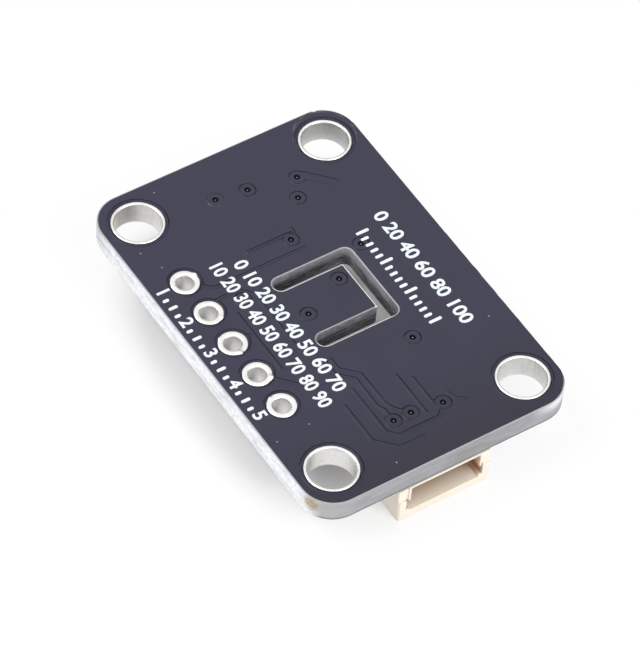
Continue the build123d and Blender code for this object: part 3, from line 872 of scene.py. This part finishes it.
class SENSOR_OT_printing(Operator):
    """White pin numbers, number rows and scale marks on the printed side"""
    bl_idname = "sensor_module.printing"
    bl_label = "Printing"

    # Figures, left end, right end, foot and head of each row, in millimetres
    number_rows = (
        ("0 20 40 60 80 100", -3.95, 5.35, 5.55, 6.45),
        ("0 10 20 30 40 50 60 70", -4.85, 5.85, -3.35, -2.45),
        ("10 20 30 40 50 60 70 80 90", -5.3, 6.4, -4.65, -3.75),
    )

    # The scale's marks: the first one's place, their pitch, foot, head, and the head of each fifth
    scale_start, scale_pitch, scale_marks = -3.2, 0.5, 16
    scale_foot, scale_head, scale_high = 3.98, 4.5, 4.83

    # The header's numbers and the marks between them
    pin_foot, pin_head, pin_mark_head, pin_mark_high = -8.2, -7.38, -7.8, -7.62

    def levels(self):
        """Foot and face of the ink."""
        return MASK_FACE - 0.004 * MM, RELIEF_TOP + settings()[1].print_height

    def row(self, words, left, right, foot, head):
        """One row of figures as a mesh, fitted between its ends, or centred where they are the same."""
        text = bpy.data.curves.new("row", "FONT")
        text.body = words
        text.offset = 0.022  # Strokes a little bolder than the typeface's own
        text.resolution_u = 4
        text.extrude = 0.5
        holder = placed("row", text)
        bpy.context.view_layer.update()
        drawn = holder.evaluated_get(bpy.context.evaluated_depsgraph_get())
        mesh = bpy.data.meshes.new_from_object(drawn)
        bpy.data.objects.remove(holder)
        xs, ys = ([v.co[i] for v in mesh.vertices] for i in (0, 1))
        tall = (head - foot) / (max(ys) - min(ys))
        span = max(xs) - min(xs)
        wide = tall if left == right else (right - left) / span
        start = left - wide * span / 2 if left == right else left
        low, high = self.levels()
        for v in mesh.vertices:
            v.co.x = (start + (v.co.x - min(xs)) * wide) * MM
            v.co.y = (foot + (v.co.y - min(ys)) * tall) * MM
            v.co.z = high if v.co.z > 0 else low
        return mesh

    def mark(self, bm, x, foot, head, width=0.2):
        """One upright scale mark with round ends."""
        low, high = self.levels()
        centre = (foot + width / 2) * MM
        disc = bmesh.ops.create_circle(bm, cap_ends=True, segments=16, radius=width / 2 * MM,
                                       matrix=Matrix.Translation((x * MM, centre, low)))["verts"]
        upper = [v for v in disc if v.co.y > centre - WELD]
        bmesh.ops.translate(bm, verts=upper, vec=(0, (head - foot - width) * MM, 0))
        raised = bmesh.ops.extrude_face_region(bm, geom=[disc[0].link_faces[0]])["geom"]
        face = [g for g in raised if isinstance(g, bmesh.types.BMFace)]
        bmesh.ops.translate(bm, verts=[g for g in raised if isinstance(g, bmesh.types.BMVert)],
                            vec=(0, 0, high - low))
        walls = dict.fromkeys(f for v in disc for f in v.link_faces)
        bmesh.ops.recalc_face_normals(bm, faces=[*walls, *face])

    def execute(self, context):
        ink = white_ink()
        for number, (words, *place) in enumerate(self.number_rows, start=1):
            bm = bmesh.new()
            bm.from_mesh(self.row(words, *place))
            weld(bm)
            piece(f"number_row_{number}", bm, ink, "solder_mask", weighted=False)

        bm = bmesh.new()
        for i in range(self.scale_marks):
            head = self.scale_high if i % 5 == 0 else self.scale_head
            self.mark(bm, self.scale_start + self.scale_pitch * i, self.scale_foot, head)
        piece("scale_marks", bm, ink, "solder_mask", weighted=False)

        bm = bmesh.new()
        pins = [(i - (HEADER_HOLES - 1) / 2) * HEADER_PITCH for i in range(HEADER_HOLES)]
        for number, x in enumerate(pins, start=1):
            bm.from_mesh(self.row(str(number), x, x, self.pin_foot, self.pin_head))
        weld(bm)
        for x in pins[:-1]:
            for step, head in enumerate((self.pin_mark_head, self.pin_mark_high, self.pin_mark_head), 1):
                self.mark(bm, x + step * HEADER_PITCH / 4, self.pin_foot, head)
        piece("pin_numbers", bm, ink, "solder_mask", weighted=False)
        return {"FINISHED"}


class SENSOR_OT_sockets(Operator):
    """Nylon housings with their contacts and hold-down tabs"""
    bl_idname = "sensor_module.sockets"
    bl_label = "Sockets"

    def execute(self, context):
        nylon = cream_nylon()
        contact = drawn_metal("contact_strip", (0.90, 0.68, 0.55), (0.1, 1, 1))
        tab = drawn_metal("tab_strip", (0.84, 0.83, 0.80), (1, 1, 0.1), 0.34)
        for end in ("near", "far"):
            softened(f"{end}_socket_shell", f"{end}_socket_housing", nylon, "socket_plastic",
                     settings()[1].edge_radius, lip=0.06 * MM)
            for i in range(1, CONTACTS + 1):
                node = f"{end}_socket_contact_{i}"
                softened(f"{end}_contact_strip_{i}", node, contact, "contact_metal", 0.02 * MM)
            for hand in ("left", "right"):
                node = f"{end}_socket_tab_{hand}"
                softened(f"{end}_hold_down_{hand}", node, tab, "tab_metal", 0.03 * MM)
        return {"FINISHED"}


class SENSOR_OT_components(Operator):
    """Packages, chip parts, indicator light and sensor on the component side"""
    bl_idname = "sensor_module.components"
    bl_label = "Components"

    def execute(self, context):
        compound = black_compound()
        leads = drawn_metal("lead_tin", (0.86, 0.86, 0.84), (1, 0.1, 1), 0.28)
        ends = tin_plate("end_cap_tin", 0.3)
        tan = tuple(settings()[0].ceramic)
        ceramic = speckled("fired_ceramic", toned(tan, 0.82), tan, 0.45)
        coat = speckled("resistor_glaze", (0.012, 0.012, 0.014), (0.03, 0.03, 0.032), 0.28)
        for name in ("regulator", "level_shifter"):
            softened(f"{name}_moulding", f"{name}_body", compound, "moulding_compound", 0.04 * MM)
            softened(f"{name}_lead_frame", f"{name}_leads", leads, "lead_metal", 0.02 * MM)
        chips = (("capacitor", 3, ceramic, "capacitor_ceramic"), ("resistor", 5, coat, "resistor_coat"))
        for kind, count, body, slot in chips:
            for name in (f"{kind}_{i}" for i in range(1, count + 1)):
                softened(f"{name}_core", f"{name}_body", body, slot, 0.03 * MM)
                softened(f"{name}_caps", f"{name}_ends", ends, "tin_plating", 0.02 * MM, 3)
        base = speckled("light_laminate", linear(214, 214, 206), linear(236, 236, 228), 0.5)
        softened("light_carrier", "indicator_light_base", base, "light_base", 0.02 * MM)
        softened("light_caps", "indicator_light_ends", ends, "tin_plating", 0.02 * MM)
        softened("light_dome", "indicator_light_lens", clear_lens(), "light_lens", 0.05 * MM, 3)
        softened("sensor_moulding", "sensor_chip", compound, "moulding_compound", 0.03 * MM)
        film = speckled("sensing_polymer", (0.10, 0.075, 0.03), (0.19, 0.14, 0.06), 0.16)
        paint(["sensing_film"], film)
        paint(["sensor_terminals"], ends)
        return {"FINISHED"}


class SENSOR_OT_solder(Operator):
    """Solder that has risen round each lead and end cap from its pad"""
    bl_idname = "sensor_module.solder"
    bl_label = "Solder"

    # How high the solder stands over the pads, and how far its top draws in, in millimetres
    rise = 0.15
    draw_in = 0.10

    def execute(self, context):
        pads = node_copy("component_pads")
        bm = bmesh.new()
        for shell in islands(pads):
            low = Vector(min(v.co[i] for v in shell) for i in range(3))
            high = Vector(max(v.co[i] for v in shell) for i in range(3))
            size = high - low
            middle = (low + high) / 2
            block = bmesh.ops.create_cube(bm, size=1)["verts"]
            for v in block:
                lower = v.co.z < 0
                side = Vector((v.co.x, v.co.y)) * 2
                shrink = (self.draw_in if lower else 0.02) * MM
                v.co.x = middle.x + side.x * (size.x / 2 - shrink)
                v.co.y = middle.y + side.y * (size.y / 2 - shrink)
                v.co.z = low.z - self.rise * MM if lower else low.z + 0.01 * MM
        pads.free()
        edges = [e for e in bm.edges if not all(v.co.z > MASK_LOW - 0.02 * MM for v in e.verts)]
        bevelled(bm, edges, 0.05 * MM, 3)
        bmesh.ops.recalc_face_normals(bm, faces=bm.faces)
        piece("solder_fillets", bm, tin_plate("solder", 0.2), "tin_plating", angle=70, weighted=False)
        return {"FINISHED"}


class SENSOR_OT_stage(Operator):
    """White sweep, soft lamps, dark cards for the reflections, and the camera"""
    bl_idname = "sensor_module.stage"
    bl_label = "Stage"

    # The camera's axes and place, in metres
    right = Vector((0.54212047, 0.83802272, 0.06183288))
    down = Vector((0.67232904, -0.38843731, -0.63015086))
    forward = Vector((-0.50406254, 0.38318973, -0.77400684))
    place = Vector((0.125795, -0.095967, 0.194469))

    def flat(self, name, size, matrix, material):
        """A square of the given half width, for the floor and the cards."""
        bm = bmesh.new()
        bmesh.ops.create_grid(bm, x_segments=1, y_segments=1, size=size, matrix=matrix)
        mesh = bpy.data.meshes.new(name)
        bm.to_mesh(mesh)
        bm.free()
        mesh.materials.append(material)
        made = placed(name, mesh)
        return made

    def lamp(self, name, place, size, power):
        data = bpy.data.lights.new(name, "AREA")
        data.shape = "DISK"
        data.size = size
        data.energy = power
        lamp = placed(name, data)
        lamp.location = place
        lamp.rotation_euler = (-Vector(place)).to_track_quat("-Z", "Y").to_euler()

    def seen(self, nodes):
        """1 where the backdrop is looked at, straight or in a reflection, and 0 where it lights."""
        path = nodes.node("LightPath").socket.node.outputs
        camera, glossy, through = (Signal(nodes, path[name]) for name in
                                   ("Is Camera Ray", "Is Glossy Ray", "Is Transmission Ray"))
        return nodes.node("Clamp", {}, {0: camera + glossy + through})

    def sweep(self):
        """White paper that glows where it is looked at, and can be seen through from below."""
        f = Finish("white_sweep")
        paper = f.blend(f.cloud(20), (0.955, 0.957, 0.96), (0.975, 0.975, 0.975))
        matt = f.node("BsdfPrincipled", {},
                      {"Base Color": paper, "Roughness": 0.9, "Specular IOR Level": 0.0})
        glow = f.node("Emission", {}, {"Color": (1, 1, 1, 1), "Strength": 1.0})
        # Less glow under the board, where the real floor lies in shade, but all of it far behind
        reach = f.distance(f.stretched((0.9, 1.3, 0)), (0, -3 * MM, 0)) / (20 * MM)
        shaded = f.share(reach, 0.61, 0.46)
        behind = f.ramp(f.axis("Y") / (40 * MM), (0.16, 0), (0.20, 0.35), (0.25, 0.88), (0.32, 1))
        beyond = f.ramp(f.axis("X") / (-40 * MM), (0.26, 0), (0.30, 0.35), (0.36, 0.88), (0.44, 1))
        share = self.seen(f) * f.larger(f.larger(behind, beyond), 0.86 - 0.72 * shaded)
        front = f.node("MixShader", {}, {0: share, 1: matt, 2: glow})
        from_below = f.node("NewGeometry", output="Backfacing")
        paper_side = f.node("MixShader", {}, {0: from_below, 1: front, 2: f.node("BsdfTransparent")})
        f.node("OutputMaterial", {}, {"Surface": paper_side})
        return f.material

    def room(self, level):
        """A white room that lights at a level, and is plain white where it is looked at."""
        world = bpy.data.worlds.new("studio")
        world.use_nodes = True
        n = Nodes(world.node_tree)
        light, backdrop = (n.node("Background", {}, {"Color": (1, 1, 1, 1), "Strength": strength})
                           for strength in (level, 1.0))
        mixed = n.node("MixShader", {}, {0: self.seen(n), 1: light, 2: backdrop})
        n.node("OutputWorld", {}, {"Surface": mixed})
        return world

    def cards(self):
        """Dark cards beyond the object, seen only in its reflections."""
        dark = Finish("dark_card").shade(Base_Color=(0.02, 0.02, 0.022), Roughness=0.9)
        turn = math.atan2(self.forward.y, self.forward.x)
        for step in (-55, 0, 55):
            direction = turn + math.radians(step)
            centre = Vector((0.5 * math.cos(direction), 0.5 * math.sin(direction), 0.10))
            facing = Matrix.Rotation(direction, 4, "Z") @ Matrix.Rotation(math.pi / 2, 4, "Y")
            matrix = Matrix.Translation(centre) @ facing @ Matrix.Diagonal((0.2, 0.55, 1, 1))
            card = self.flat(f"card_{step + 55}", 0.5, matrix, dark)
            card.visible_camera = False
            card.visible_diffuse = False
            card.visible_shadow = False

    def camera(self, focal_length):
        data = bpy.data.cameras.new("camera")
        data.sensor_width = 36
        data.lens = focal_length
        data.clip_start, data.clip_end = 0.01, 10
        camera = placed("camera", data)
        camera.matrix_world = Matrix.Translation(self.place) @ Matrix(
            (self.right, -self.down, -self.forward)).transposed().to_4x4()
        return camera

    def execute(self, context):
        stage = settings()[2]
        scene = bpy.context.scene
        self.flat("floor", 1.5, Matrix.Translation((0, 0, -0.02 * MM)), self.sweep())
        scene.world = self.room(stage.fill_level)
        self.lamp("key", (-0.16, -0.36, 0.50), 0.45, stage.key_power)
        self.lamp("side", (0.42, 0.12, 0.37), 0.40, stage.side_power)
        self.cards()
        scene.camera = self.camera(stage.focal_length)
        scene.view_settings.view_transform = "Standard"
        return {"FINISHED"}


class SENSOR_PT_panel(Panel):
    """Buttons and settings of the sensor module"""
    bl_idname = "SENSOR_PT_panel"
    bl_label = "Sensor Module"
    bl_space_type = "VIEW_3D"
    bl_region_type = "UI"
    bl_category = "Sensor Module"

    def draw(self, context):
        for group in settings():
            box = self.layout.box()
            for name in group.bl_rna.properties.keys():
                if name not in ("rna_type", "name"):
                    box.prop(group, name)
        for operator in OPERATORS:
            self.layout.operator(operator.bl_idname)


GROUPS = {"sensor_colours": SENSOR_PG_colours, "sensor_shapes": SENSOR_PG_shapes,
          "sensor_stage": SENSOR_PG_stage}
OPERATORS = (SENSOR_OT_board, SENSOR_OT_plating, SENSOR_OT_printing, SENSOR_OT_sockets,
             SENSOR_OT_components, SENSOR_OT_solder, SENSOR_OT_stage)


def register():
    for kind in (*GROUPS.values(), *OPERATORS, SENSOR_PT_panel):
        bpy.utils.register_class(kind)
    for name, kind in GROUPS.items():
        setattr(bpy.types.Scene, name, PointerProperty(type=kind))


def unregister():
    for name in GROUPS:
        delattr(bpy.types.Scene, name)
    for kind in reversed((*GROUPS.values(), *OPERATORS, SENSOR_PT_panel)):
        bpy.utils.unregister_class(kind)


def main():
    register()
    bpy.ops.sensor_module.board()
    bpy.ops.sensor_module.plating()
    bpy.ops.sensor_module.printing()
    bpy.ops.sensor_module.sockets()
    bpy.ops.sensor_module.components()
    bpy.ops.sensor_module.solder()
    bpy.ops.sensor_module.stage()


if __name__ == "__main__":
    main()
